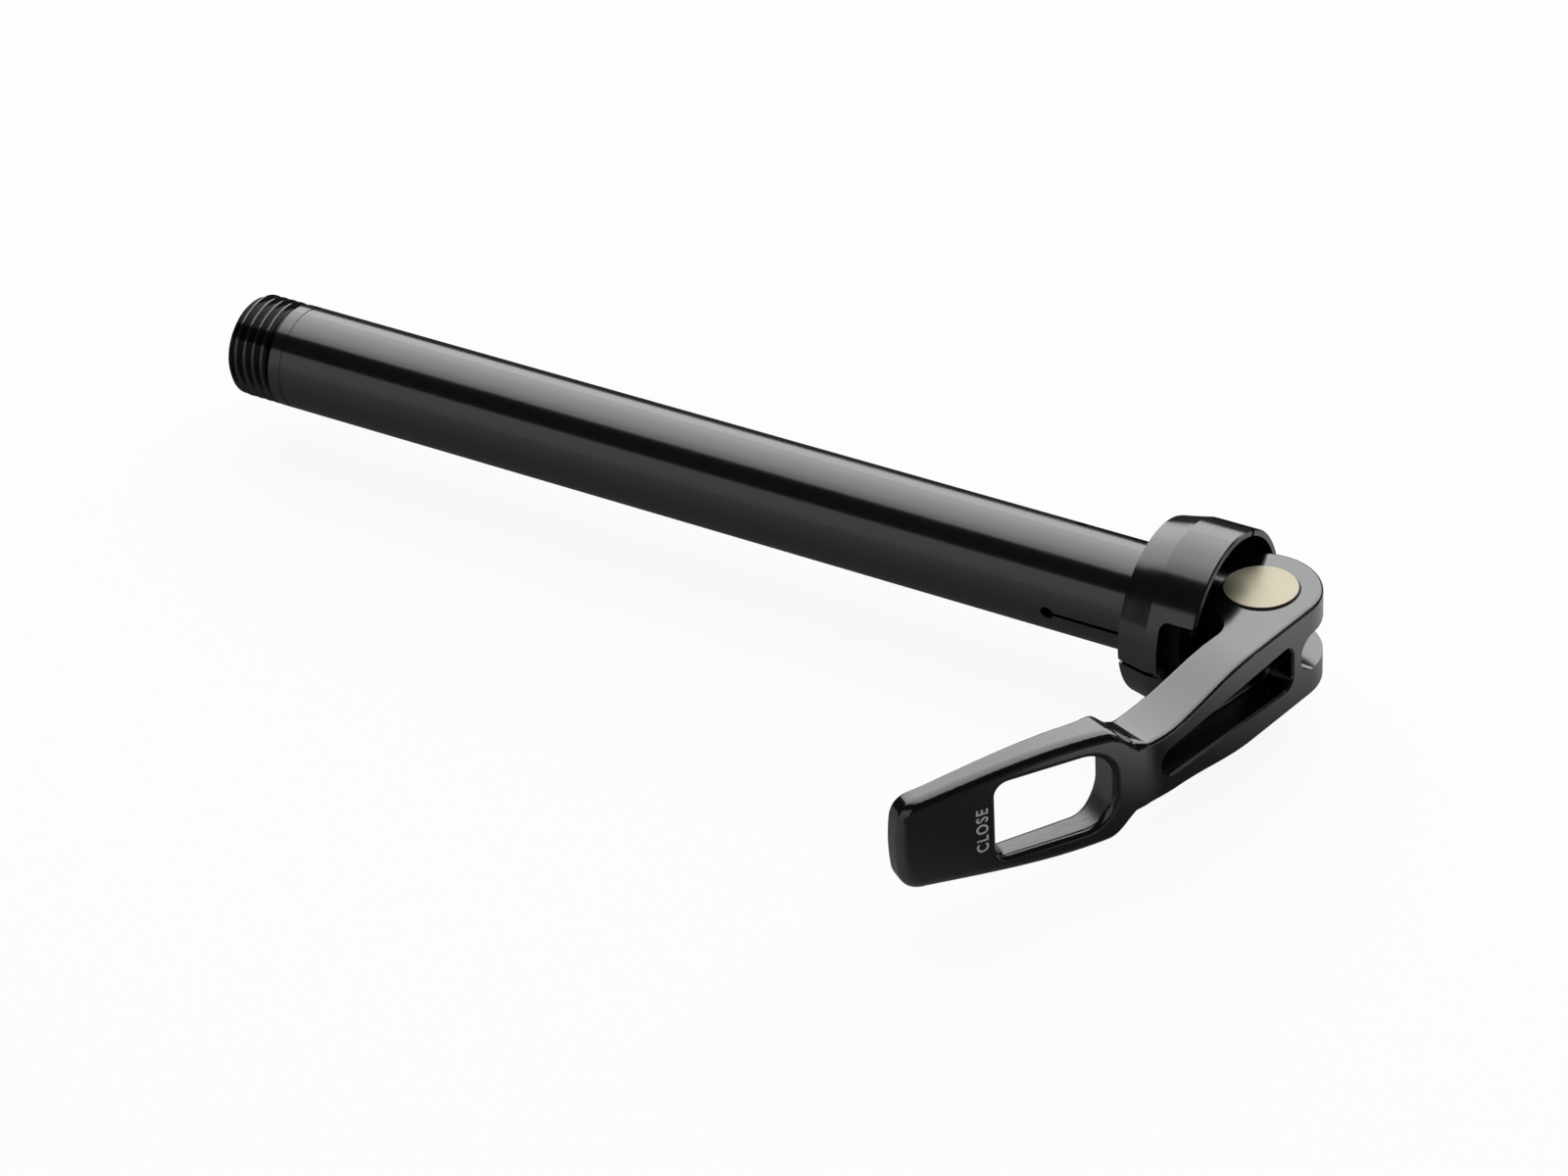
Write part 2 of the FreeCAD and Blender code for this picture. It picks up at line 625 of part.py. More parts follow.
def middle_of(edge):
    return edge.valueAt((edge.FirstParameter + edge.LastParameter) / 2)


def rims_left_by(cutter, shape, along):
    """Edges that a cutter left in a shape, apart from those that run along it."""
    edges = []
    for edge in shape.Edges:
        way = edge.tangentAt((edge.FirstParameter + edge.LastParameter) / 2)
        on_cutter = cutter.distToShape(Part.Vertex(middle_of(edge)))[0] < TOUCH
        if on_cutter and abs(way.dot(along)) < 0.99:
            edges.append(edge)
    return edges


def window():
    """Cutter of the finger window, square to the handle's face."""
    out = 2 * PLATE_NECK_THICKNESS
    half = WINDOW_HALF_HEIGHT
    corners = [on_handle(WINDOW_NEAR, out, -half), on_handle(WINDOW_FAR, out, -half),
               on_handle(WINDOW_FAR, out, half), on_handle(WINDOW_NEAR, out, half)]
    radii = [WINDOW_NECK_R, WINDOW_TIP_R, WINDOW_TIP_R, WINDOW_NECK_R]
    return rounded_prism(corners, radii, HANDLE_OUT * 2 * out)


def pocket_mouth(depth, growth):
    """Outline of the pocket at a depth behind the arm's outer face, grown all round."""
    head = POCKET_HEAD_END - growth
    neck = POCKET_NECK_END + growth
    head_half = POCKET_HALF_HEIGHT + growth
    neck_half = POCKET_NECK_HALF_HEIGHT + growth
    corners = [on_arm(head, depth, -head_half), on_arm(neck, depth, -neck_half),
               on_arm(neck, depth, neck_half), on_arm(head, depth, head_half)]
    return rounded_wire(corners, [POCKET_CORNER_R + growth] * 4)


def pocket():
    """Cutters of the blind pocket in the outer face of the arm, and of its chamfered mouth."""
    floor = Vector(ARM_INNER_START[0], ARM_INNER_START[1], 0) - ARM_INNER_SIDE * POCKET_FLOOR_WALL
    far = crossing(floor, ARM_INNER_ALONG, on_arm(POCKET_NECK_END - POCKET_NECK_RAMP), ARM_OUT)
    head_end = on_arm(POCKET_HEAD_END - PAST)
    near = crossing(floor, ARM_INNER_ALONG, head_end, ARM_OUT)
    neck_end = on_arm(POCKET_NECK_END + PAST)
    drop = Vector(0, 0, -CAM_R)
    plan = [head_end + drop, near + drop, far + drop, neck_end + drop,
            neck_end + ARM_OUT * CAM_R + drop, head_end + ARM_OUT * CAM_R + drop]
    plan_cutter = Part.Face(Part.makePolygon(plan + [plan[0]])).extrude(drop * -2)
    side_cutter = Part.Face(pocket_mouth(CAM_R, 0)).extrude(ARM_OUT * 2 * CAM_R)
    cutter = plan_cutter.common(side_cutter)
    floor_edges = [edge for edge in cutter.Edges
                   if (ARM_TOP - middle_of(edge)).dot(ARM_OUT) > POCKET_MOUTH_CHAMFER]
    cutter = cutter.makeFillet(POCKET_FLOOR_R, floor_edges)
    chamfer = Part.makeLoft([pocket_mouth(POCKET_MOUTH_CHAMFER, 0),
                             pocket_mouth(-POCKET_MOUTH_CHAMFER, 2 * POCKET_MOUTH_CHAMFER)], True, True)
    return [cutter, chamfer]


def rod_slot():
    """Cutter of the slot that lets the head turn past the draw rod."""
    reach = CAM_R + CAM_OFFSET + PAST
    half = ROD_SLOT_HALF_WIDTH
    start = direction(ROD_SLOT_START)
    center = Vector(PIN_X, 0, 0)
    section = Part.Face(Part.makePolygon([
        center + Vector(0, 0, -half), center + start * reach + Vector(0, 0, -half),
        center + start * reach + Vector(0, 0, half), center + Vector(0, 0, half),
        center + Vector(0, 0, -half)]))
    sweep = section.revolve(center, Vector(0, 0, 1), ROD_SLOT_END - ROD_SLOT_START)
    ends = [Part.makeCylinder(half, reach, center, direction(angle))
            for angle in (ROD_SLOT_START, ROD_SLOT_END)]
    return [sweep] + ends


def lever():
    """Forged lever with a window, a pocketed arm and a slotted cam head."""
    blank = lever_outline().common(lever_heights())
    handle = handle_end(blank)
    head = head_end(blank)
    waist = Part.makeLoft([parting_face(handle, HANDLE_BLEND_AT).OuterWire,
                           parting_face(head, ARM_BLEND_AT).OuterWire], True, True)
    bore = Part.makeCylinder(PIN_R + PIN_CLEARANCE, 4 * CAM_R, Vector(PIN_X, 0, -2 * CAM_R))
    return handle.fuse([waist, head]).cut(pocket() + rod_slot() + [bore])


PARTS = {
    "axle_tube": axle_tube,
    "expander_cone": expander_cone,
    "cam_seat": cam_seat,
    "return_spring": return_spring,
    "spring_washer": lambda: washer(SPRING_SEAT_X, SPRING_WASHER_THICKNESS,
                                    MOUTH_BORE_R - SPRING_WASHER_CLEARANCE, ROD_HOLE_R),
    "draw_rod": draw_rod,
    "barrel_pin": barrel_pin,
    "lever": lever,
    "nut_washer": lambda: washer(WEB_X - WEB_THICKNESS - WASHER_THICKNESS, WASHER_THICKNESS,
                                 WASHER_R, ROD_HOLE_R),
    "tension_nut": tension_nut,
    "seal_ring": seal_ring,
    "retaining_ring": retaining_ring,
}

os.makedirs("parts", exist_ok=True)
for name, make in PARTS.items():
    shape = make()
    if shape.ShapeType != "Solid" and len(shape.Solids) == 1:
        shape = shape.Solids[0]
    print(name, "valid", shape.isValid(), "solids", len(shape.Solids),
          "faces", len(shape.Faces), "volume", round(shape.Volume, 1))
    shape.exportStep(os.path.join("parts", name + ".step"))
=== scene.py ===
# %% [markdown]
# # A thru axle with a cam lever, dressed for a product picture
# The CAD model gives every solid of the axle its true shape. This lesson adds what the solids
# leave out: the fine thread at the far end, the word printed on the lever, and the finishes. The
# lengths are metres, because the frame that we load is in metres.

import bmesh
import bpy
import math
from mathutils import Matrix, Vector


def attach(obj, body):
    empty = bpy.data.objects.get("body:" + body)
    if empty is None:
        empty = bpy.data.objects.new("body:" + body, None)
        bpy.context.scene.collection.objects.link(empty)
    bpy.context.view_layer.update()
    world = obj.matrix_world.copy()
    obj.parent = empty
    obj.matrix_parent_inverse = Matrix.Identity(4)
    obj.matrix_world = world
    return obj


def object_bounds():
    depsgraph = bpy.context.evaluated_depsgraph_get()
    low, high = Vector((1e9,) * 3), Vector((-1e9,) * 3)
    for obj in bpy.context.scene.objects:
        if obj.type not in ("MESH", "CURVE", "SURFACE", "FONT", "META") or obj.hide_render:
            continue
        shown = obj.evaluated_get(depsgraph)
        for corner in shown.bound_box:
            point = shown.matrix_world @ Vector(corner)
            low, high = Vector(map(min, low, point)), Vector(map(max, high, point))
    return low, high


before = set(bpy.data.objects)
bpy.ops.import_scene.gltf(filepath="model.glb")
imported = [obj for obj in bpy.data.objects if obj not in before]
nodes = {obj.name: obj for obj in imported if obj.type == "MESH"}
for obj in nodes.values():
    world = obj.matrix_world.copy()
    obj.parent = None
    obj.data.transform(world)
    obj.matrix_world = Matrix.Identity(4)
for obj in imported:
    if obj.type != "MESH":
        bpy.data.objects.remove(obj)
cad_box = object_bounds()
MM = 0.001
print("nodes:", sorted(nodes))
print("CAD box in mm:", [[round(v / MM, 1) for v in corner] for corner in cad_box])

# %% [markdown]
# ## The camera
# The picture was taken from above the lever's side, looking down the shank, with a long lens. A
# long lens far away keeps the shank's sides nearly parallel. We build the camera's turn from
# three plain angles: round the upright, down from level, and a small tilt of the camera itself.

# %% Camera at the picture's viewing angle
CAMERA_AZIMUTH = 32.764
CAMERA_ELEVATION = 33.582
CAMERA_ROLL = -3.067
CAMERA_PLACE = (0.290676, -0.544105, 0.413898)
CAMERA_LENS = 127.68
SENSOR_WIDTH = 36.0
CAMERA_REACH = 20.0

camera_data = bpy.data.cameras.new("camera")
camera_data.lens = CAMERA_LENS
camera_data.sensor_width = SENSOR_WIDTH
camera_data.clip_end = CAMERA_REACH
camera = bpy.data.objects.new("camera", camera_data)
bpy.context.collection.objects.link(camera)
turn = (Matrix.Rotation(math.radians(CAMERA_AZIMUTH), 4, "Z")
        @ Matrix.Rotation(math.radians(90 - CAMERA_ELEVATION), 4, "X")
        @ Matrix.Rotation(math.radians(CAMERA_ROLL), 4, "Z"))
camera.matrix_world = Matrix.Translation(CAMERA_PLACE) @ turn
bpy.context.scene.camera = camera
print("camera looks along", [round(v, 3) for v in turn.col[2].xyz * -1])

# %% [markdown]
# ## Shader maths that reads like maths
# A node tree is a graph, but a formula is easier to read. This small class wraps one socket, so
# that `0.2 + noise * 0.1` adds the Math nodes for us. Every other node comes from one method,
# `node`.


# %% A socket that can be added and multiplied
class Socket:
    """One output socket in a node tree, with Python's operators."""

    def __init__(self, tree, output):
        self.tree = tree
        self.output = output

    def math(self, operation, left, right):
        return self.tree.node("ShaderNodeMath", {"operation": operation}, {0: left, 1: right})

    def __add__(self, other):
        return self.math("ADD", self, other)

    def __radd__(self, other):
        return self.math("ADD", other, self)

    def __sub__(self, other):
        return self.math("SUBTRACT", self, other)

    def __rsub__(self, other):
        return self.math("SUBTRACT", other, self)

    def __mul__(self, other):
        return self.math("MULTIPLY", self, other)

    def __rmul__(self, other):
        return self.math("MULTIPLY", other, self)


# %% A node tree that grows node by node
class Tree:
    """A node tree of a material, a lamp or the world, emptied first."""

    def __init__(self, node_tree):
        self.nodes = node_tree.nodes
        self.links = node_tree.links
        self.nodes.clear()

    def node(self, kind, settings, inputs, output=0):
        made = self.nodes.new(kind)
        for name, value in settings.items():
            if name == "stops":
                ramp = made.color_ramp.elements
                while len(ramp) < len(value):
                    ramp.new(1.0)
                for stop, (position, grey) in zip(ramp, value):
                    stop.position = position
                    stop.color = (grey, grey, grey, 1.0)
            else:
                setattr(made, name, value)
        for socket, value in inputs.items():
            if isinstance(value, Socket):
                self.links.new(value.output, made.inputs[socket])
            else:
                made.inputs[socket].default_value = value
        return Socket(self, made.outputs[output])

    def end(self, kind, shader):
        out = self.nodes.new(kind)
        self.links.new(shader.output, out.inputs["Surface"])

    def split(self, vector):
        return [self.node("ShaderNodeSeparateXYZ", {}, {0: vector}, axis) for axis in "XYZ"]


# %% A finish is a tree that ends in one surface shader
class Finish(Tree):
    """A material with its Principled shader, and the patterns that feed it."""

    def __init__(self, name):
        self.material = bpy.data.materials.new(name)
        self.material.use_nodes = True
        super().__init__(self.material.node_tree)

    def place(self):
        return self.node("ShaderNodeTexCoord", {}, {}, "Object")

    def noise(self, scale, detail=2.0):
        return self.node("ShaderNodeTexNoise", {}, {
            "Vector": self.place(), "Scale": scale, "Detail": detail}, "Fac")

    def bump(self, height, distance):
        return self.node("ShaderNodeBump", {}, {
            "Height": height, "Distance": distance, "Strength": 1.0}, "Normal")

    def rings(self, across, scale):
        """Turning marks: waves of the distance from an axis, by the two coordinates across it."""
        a, b = across
        radius = self.node("ShaderNodeMath", {"operation": "SQRT"}, {0: a * a + b * b})
        return self.node("ShaderNodeMath", {"operation": "SINE"}, {0: radius * scale})

    def mix_colors(self, share, first, second):
        """The first colour where the share is 0, the second where it is 1."""
        return self.node("ShaderNodeMix", {"data_type": "RGBA"}, {
            0: share, 6: first, 7: second}, 2)

    def close(self, **inputs):
        shader = self.node("ShaderNodeBsdfPrincipled", {}, {
            name.replace("_", " "): value for name, value in inputs.items()})
        self.end("ShaderNodeOutputMaterial", shader)
        return self.material


print("shader helpers ready")

# %% [markdown]
# ## Directions of the handle
# The lever's handle lies at a slant. Two directions and one corner, where its front face would
# meet the arm's, are enough to find any place on it: how far from the neck, and how deep below
# the front face.

# %% Two directions and a corner
HANDLE_ANGLE = math.radians(55.755)
NECK_CORNER = Vector((17.76, -34.87, 0)) * MM
handle_along = Vector((math.cos(HANDLE_ANGLE), math.sin(HANDLE_ANGLE), 0))
handle_out = Vector((math.sin(HANDLE_ANGLE), -math.cos(HANDLE_ANGLE), 0))
print("handle runs along", [round(v, 3) for v in handle_along])

# %% [markdown]
# ## Polished black anodising
# The shank, collar and lever are aluminium, polished and dyed black. The dye sits under a hard
# clear oxide, so the surface is nearly black with a neutral shine. We use a dielectric shader,
# not a metal one: the black comes from a very dark base colour, and the shine from the clear
# layer, whose high IOR stands for the bright metal just below it. Slow noise in the roughness and
# a very low bump stand for the polisher's hand. Two places are duller than the rest, because no
# polishing wheel reaches them: the collar's rim, which is a plain turned face, and the walls of
# the finger window, where the forging's marks run round the window. There the base colour is also
# lighter: partly the greyer look of a rough face, and partly painted light for the light these
# faces catch.


# %% Black finish
BLACK = (0.0016, 0.0016, 0.0018, 1.0)
# Lighter base colour of the dull places: partly a rough face's greyer look, partly painted light.
DULL_BLACK_AND_PAINTED_LIGHT = (0.035, 0.035, 0.036, 1.0)
BLACK_IOR = 2.0
RIM_X = 11.0 * MM
WINDOW_NEAR = 5.9 * MM
WINDOW_FAR = 22.6 * MM
WINDOW_HALF_HEIGHT = 5.6 * MM
WINDOW_EDGE_R = 1.0 * MM
STEP = 0.02 * MM
DULLNESS = 0.25
MARKS_PER_M = 2200.0
MARKS_STRETCH = 20
MARKS_DEPTH = 9.0
SLOW_WAVES = 160.0
SLOW_ROUGHNESS = 0.04
FINE_WAVES = 2600.0
FINE_ROUGHNESS = 0.02
FINE_HEIGHT = 0.1


def past(finish, value, start):
    """1 where the value is at least the start, 0 below it."""
    return finish.node("ShaderNodeMapRange", {}, {
        "Value": value, "From Min": start - STEP, "From Max": start - STEP / 2})


def rim_places(finish):
    """The collar's turned rim, which has no marks."""
    x = finish.split(finish.place())[0]
    return past(finish, x, RIM_X), 0.0


def window_places(finish):
    """The finger window's walls, which lie inside its outline and below its rounded edge."""
    x, y, z = finish.split(finish.place())
    from_neck = (NECK_CORNER.x - x) * handle_along.x + (NECK_CORNER.y - y) * handle_along.y
    depth = (NECK_CORNER.x - x) * handle_out.x + (NECK_CORNER.y - y) * handle_out.y
    inside = (past(finish, from_neck, WINDOW_NEAR) * past(finish, from_neck * -1, -WINDOW_FAR)
              * past(finish, z, -WINDOW_HALF_HEIGHT) * past(finish, z * -1, -WINDOW_HALF_HEIGHT)
              * past(finish, depth, WINDOW_EDGE_R))
    stretched = finish.node("ShaderNodeCombineXYZ", {}, {
        0: depth * MARKS_PER_M,
        1: from_neck * (MARKS_PER_M / MARKS_STRETCH),
        2: z * (MARKS_PER_M / MARKS_STRETCH)})
    marks = finish.node("ShaderNodeTexNoise", {}, {
        "Vector": stretched, "Scale": 1.0, "Detail": 3.0}, "Fac")
    return inside, marks * MARKS_DEPTH


def black_anodised(name, roughness, ripple, dull_places=None):
    """Gloss black. A function may give the dull places and the height of the marks on them."""
    finish = Finish(name)
    slow = finish.noise(SLOW_WAVES)
    fine = finish.noise(FINE_WAVES, detail=3.0)
    height = slow + fine * FINE_HEIGHT
    color = BLACK
    if dull_places:
        share, marks = dull_places(finish)
        roughness = roughness + share * DULLNESS
        height = height + share * marks
        # Painted light: the dull places get a lighter base colour on top of their real roughness.
        color = finish.mix_colors(share, BLACK, DULL_BLACK_AND_PAINTED_LIGHT)
    return finish.close(
        Base_Color=color,
        Roughness=(roughness - (SLOW_ROUGHNESS + FINE_ROUGHNESS) / 2
                   + slow * SLOW_ROUGHNESS + fine * FINE_ROUGHNESS),
        IOR=BLACK_IOR,
        Normal=finish.bump(height, ripple))


shank_black = black_anodised(
    "black_anodised", roughness=0.15, ripple=0.012 * MM, dull_places=rim_places)
lever_black = black_anodised(
    "black_lever", roughness=0.13, ripple=0.015 * MM, dull_places=window_places)
print("black finishes:", shank_black.name, lever_black.name)

# %% [markdown]
# ## Champagne pin
# The barrel pin is turned aluminium with a pale gold dye and a satin face. It mirrors its
# surroundings only as a soft glow, so this finish is mostly metal, with a rough shine and some
# plain colour below it. Turning leaves rings round the pin's own axis, so we measure each point's
# distance from that axis and make a wave of it. The same distance tells the face from its broken
# edge and the side below it, which get a dark colour: painted shade for the shadow on that edge.

# %% Turned satin finish
PIN_AXIS_X = 14.95 * MM
FACE_R = 4.95 * MM
RIM_BLEND = 0.06 * MM
CHAMPAGNE = (0.325, 0.3, 0.222, 1.0)
# Painted shade: the dark colour on the pin's broken edge stands for the shadow there.
PIN_EDGE_PAINTED_SHADE = (0.035, 0.036, 0.022, 1.0)
PIN_METALLIC = 0.85
PIN_ROUGHNESS = 0.3
PIN_GRAIN = 1800.0
PIN_RINGS = 42000.0
GRAIN_ROUGHNESS = 0.08
RING_ROUGHNESS = 0.02
SATIN_RIPPLE = 0.003 * MM


def champagne_satin(name):
    """Satin pale gold on the pin's face, and a painted shade on its broken edge."""
    finish = Finish(name)
    x, y = finish.split(finish.place())[:2]
    across = x - PIN_AXIS_X
    rings = finish.rings((across, y), PIN_RINGS)
    grain = finish.noise(PIN_GRAIN, detail=3.0)
    # Painted shade: this share puts the dark colour on the broken edge and the side below it.
    painted_shade_share = finish.node("ShaderNodeMapRange", {}, {
        "Value": across * across + y * y,
        "From Min": FACE_R ** 2, "From Max": (FACE_R + RIM_BLEND) ** 2})
    return finish.close(
        Base_Color=finish.mix_colors(painted_shade_share, CHAMPAGNE, PIN_EDGE_PAINTED_SHADE),
        Metallic=PIN_METALLIC,
        Roughness=PIN_ROUGHNESS + grain * GRAIN_ROUGHNESS + rings * RING_ROUGHNESS,
        Normal=finish.bump(rings + grain, SATIN_RIPPLE))


pin_satin = champagne_satin("champagne_pin")
print("pin finish:", pin_satin.name)

# %% [markdown]
# ## Steel, rubber and plastic inside
# Few of these pieces can be seen, but they get their own finishes, so that the axle looks right
# when the lever stands open or the far end is in view.


# %% Inner finishes
STEEL_GRAIN = 2200.0
STEEL_RINGS = 30000.0
MOULD_GRAIN = 3000.0
MOULD_ROUGHNESS = 0.12
MOULD_RELIEF = 0.01 * MM
SPRING_STEEL = (0.5, 0.5, 0.51, 1.0)
DARK_STEEL = (0.3, 0.3, 0.31, 1.0)
PLATED_STEEL = (0.55, 0.55, 0.56, 1.0)
PLAIN_ALUMINIUM = (0.75, 0.75, 0.77, 1.0)
MOULDED_BLACK = (0.02, 0.02, 0.02, 1.0)


def turned_metal(name, color, roughness):
    """Bare metal with turning marks round the axle's axis."""
    finish = Finish(name)
    y, z = finish.split(finish.place())[1:]
    rings = finish.rings((y, z), STEEL_RINGS)
    grain = finish.noise(STEEL_GRAIN)
    return finish.close(
        Base_Color=color, Metallic=1.0,
        Roughness=roughness + grain * GRAIN_ROUGHNESS,
        Normal=finish.bump(rings + grain, SATIN_RIPPLE))


def moulded(name, color, roughness):
    """Plastic or rubber with the fine grain of its mould."""
    finish = Finish(name)
    grain = finish.noise(MOULD_GRAIN, detail=3.0)
    return finish.close(
        Base_Color=color,
        Roughness=roughness + grain * MOULD_ROUGHNESS,
        Normal=finish.bump(grain, MOULD_RELIEF))


finishes = {
    "axle_tube": shank_black,
    "lever": lever_black,
    "barrel_pin": pin_satin,
    "expander_cone": black_anodised("cone_aluminium", roughness=0.3, ripple=0.01 * MM),
    "cam_seat": moulded("seat_plastic", MOULDED_BLACK, roughness=0.4),
    "return_spring": turned_metal("spring_steel", SPRING_STEEL, roughness=0.28),
    "spring_washer": turned_metal("washer_steel", SPRING_STEEL, roughness=0.3),
    "retaining_ring": turned_metal("ring_steel", DARK_STEEL, roughness=0.3),
    "draw_rod": turned_metal("rod_steel", PLATED_STEEL, roughness=0.3),
    "nut_washer": turned_metal("nut_washer_steel", PLATED_STEEL, roughness=0.32),
    "tension_nut": turned_metal("nut_aluminium", PLAIN_ALUMINIUM, roughness=0.3),
    "seal_ring": moulded("seal_rubber", MOULDED_BLACK, roughness=0.55),
}
for name, material in finishes.items():
    slots = nodes[name].data.materials
    if len(slots) == 0:
        slots.append(material)
    for i in range(len(slots)):
        slots[i] = material
print("finished", len(finishes), "nodes")

# %% [markdown]
# ## Four helpers for modelling
# Every new piece starts as a primitive and is shaped in edit mode. These helpers keep the steps
# short: one picks edges, one starts a piece, one measures it, and one applies a modifier.


# %% Modelling helpers
def only_selected_edges(edit_mesh, wanted):
    """Selects the edges that a test picks, and nothing else."""
    for edge in edit_mesh.edges:
        edge.select_set(False)
    picked = [edge for edge in edit_mesh.edges if wanted(edge)]
    for edge in picked:
        edge.select_set(True)
    return len(picked)


def start_piece(name, add, **settings):
    """Adds one primitive with everything else deselected, and opens it in edit mode."""
    bpy.ops.object.select_all(action="DESELECT")
    add(**settings)
    piece = bpy.context.object
    piece.name = name
    bpy.ops.object.transform_apply(location=True, rotation=True, scale=True)
    bpy.ops.object.mode_set(mode="EDIT")
    bpy.ops.mesh.select_mode(type="EDGE")
    return piece, bmesh.from_edit_mesh(piece.data)


def span_mm(piece):
    """The piece's least and greatest corner, in millimetres."""
    places = [vertex.co for vertex in piece.data.vertices]
    return [[round(pick(place[i] for place in places) / MM, 2) for i in range(3)]
            for pick in (min, max)]


def add_modifier(piece, kind, **settings):
    """Adds a modifier with its settings and applies it."""
    modifier = piece.modifiers.new(kind.lower(), kind)
    for name, value in settings.items():
        setattr(modifier, name, value)
    bpy.context.view_layer.objects.active = piece
    bpy.ops.object.modifier_apply(modifier=modifier.name)


print("modelling helpers ready")

# %% [markdown]
# ## The fork thread
# The far end screws into the fork with a fine metric thread, M15 with 1.5 mm pitch. The CAD model
# leaves it as a core at the thread's root. A thread is one ridge wound round that core, so we
# draw the ridge's section once, as a plane whose outer edge is narrowed to the crest, and let a
# Screw modifier wind it.

# %% Draw the ridge's section
SHANK_R = 7.5 * MM
CORE_R = 6.6 * MM
THREAD_END_X = -148.4 * MM
THREAD_START_X = -140.8 * MM
PITCH = 1.5 * MM
FLANK_ANGLE = 30.0
CREST_WIDTH = 0.2 * MM
BURIED = 0.1 * MM
CREST_BELOW_SHANK = 0.004 * MM
SAME_PLACE = 1e-7

inner_r = CORE_R - BURIED
outer_r = SHANK_R - CREST_BELOW_SHANK
base_width = CREST_WIDTH + 2 * (outer_r - inner_r) * math.tan(math.radians(FLANK_ANGLE))
middle = Vector((THREAD_END_X - PITCH, 0, (inner_r + outer_r) / 2))
ridge, edit_mesh = start_piece(
    "thread_ridge", bpy.ops.mesh.primitive_plane_add, size=base_width,
    location=middle, rotation=(math.pi / 2, 0, 0))
bpy.ops.mesh.select_all(action="SELECT")
bpy.ops.transform.resize(value=(1, 1, (outer_r - inner_r) / base_width), center_override=middle)
crest_edges = only_selected_edges(
    edit_mesh, lambda edge: all(abs(vertex.co.z - outer_r) < SAME_PLACE for vertex in edge.verts))
bpy.ops.transform.resize(value=(CREST_WIDTH / base_width, 1, 1), center_override=middle)
bpy.ops.object.mode_set(mode="OBJECT")
print("crest edges narrowed:", crest_edges, "section spans in mm:", span_mm(ridge))

# %% Wind it and close its two ends
TURNS = 8
STEPS_PER_TURN = 72

add_modifier(ridge, "SCREW", axis="X", angle=math.tau, screw_offset=PITCH, iterations=TURNS,
             steps=STEPS_PER_TURN, render_steps=STEPS_PER_TURN, use_merge_vertices=False)
bpy.ops.object.mode_set(mode="EDIT")
bpy.ops.mesh.select_all(action="SELECT")
bpy.ops.mesh.remove_doubles(threshold=SAME_PLACE)
bpy.ops.mesh.fill_holes(sides=8)
bpy.ops.mesh.select_all(action="SELECT")
bpy.ops.mesh.normals_make_consistent(inside=False)
bpy.ops.object.mode_set(mode="OBJECT")
print("ridge faces:", len(ridge.data.polygons), "spans in mm:", span_mm(ridge))

# %% [markdown]
# ## Trim the thread as the lathe would
# The ridge now runs past both ends. On the lathe the bar is turned and chamfered first, so the
# thread fades out on the chamfer. We do the same: a turned blank with chamfered ends, and what
# the ridge has in common with it is the thread.

# %% The turned blank
BLANK_BELOW_SHANK = 0.002 * MM
BLANK_SHORTER = 0.08 * MM
BLANK_CHAMFER = 0.8 * MM
BLANK_SIDES = 144

blank, edit_mesh = start_piece(
    "thread_blank", bpy.ops.mesh.primitive_cylinder_add, vertices=BLANK_SIDES,
    radius=SHANK_R - BLANK_BELOW_SHANK, depth=THREAD_START_X - THREAD_END_X - BLANK_SHORTER,
    rotation=(0, math.pi / 2, 0), location=((THREAD_START_X + THREAD_END_X) / 2, 0, 0))
rims = only_selected_edges(
    edit_mesh, lambda edge: any(len(face.verts) > 4 for face in edge.link_faces))
bpy.ops.mesh.bevel(offset=BLANK_CHAMFER, segments=1, affect="EDGES")
bpy.ops.object.mode_set(mode="OBJECT")
print("rim edges chamfered:", rims)

# %% Keep what both have in common
SMOOTH_BELOW = math.radians(25)

add_modifier(ridge, "BOOLEAN", operation="INTERSECT", object=blank, solver="EXACT")
bpy.data.objects.remove(blank)
ridge.data.materials.clear()
ridge.data.materials.append(shank_black)
bpy.ops.object.select_all(action="DESELECT")
ridge.select_set(True)
bpy.context.view_layer.objects.active = ridge
bpy.ops.object.shade_smooth_by_angle(angle=SMOOTH_BELOW)
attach(ridge, "axle")
print("thread faces:", len(ridge.data.polygons), "spans in mm:", span_mm(ridge))

# %% [markdown]
# ## The word on the lever
# The handle's front face carries the word CLOSE in pale print, so that the rider knows which way
# is shut. It is a generic word in Blender's own plain font. Print has almost no thickness, so the
# text is made a mesh and laid 0.01 mm deep on the face.

# %% Set the word
WORD_FROM_NECK = 23.85 * MM
WORD_HEIGHT = 1.72 * MM
WORD_LENGTH = 6.6 * MM
WORD_LOW_Z = -3.68 * MM
PRINT_THICKNESS = 0.01 * MM
PRINT_SUNK = 0.004 * MM
LETTER_WEIGHT = 0.022
LETTER_SPACING = 1.25
LETTER_DEPTH = 0.01

bpy.ops.object.select_all(action="DESELECT")
bpy.ops.object.text_add(location=(0, 0, 0))
word = bpy.context.object
word.name = "close_print"
word.data.body = "CLOSE"
word.data.offset = LETTER_WEIGHT
word.data.space_character = LETTER_SPACING
word.data.extrude = LETTER_DEPTH
bpy.ops.object.convert(target="MESH")
corner = Vector([min(v.co[i] for v in word.data.vertices) for i in range(3)])
size = Vector([max(v.co[i] for v in word.data.vertices) for i in range(3)]) - corner
to_size = Matrix.Diagonal((
    WORD_LENGTH / size.x, WORD_HEIGHT / size.y, PRINT_THICKNESS / size.z, 1))
axes = Matrix((Vector((0, 0, 1)), -handle_along, handle_out)).transposed().to_4x4()
spot = (NECK_CORNER - handle_along * WORD_FROM_NECK
        + Vector((0, 0, WORD_LOW_Z)) - handle_out * PRINT_SUNK)
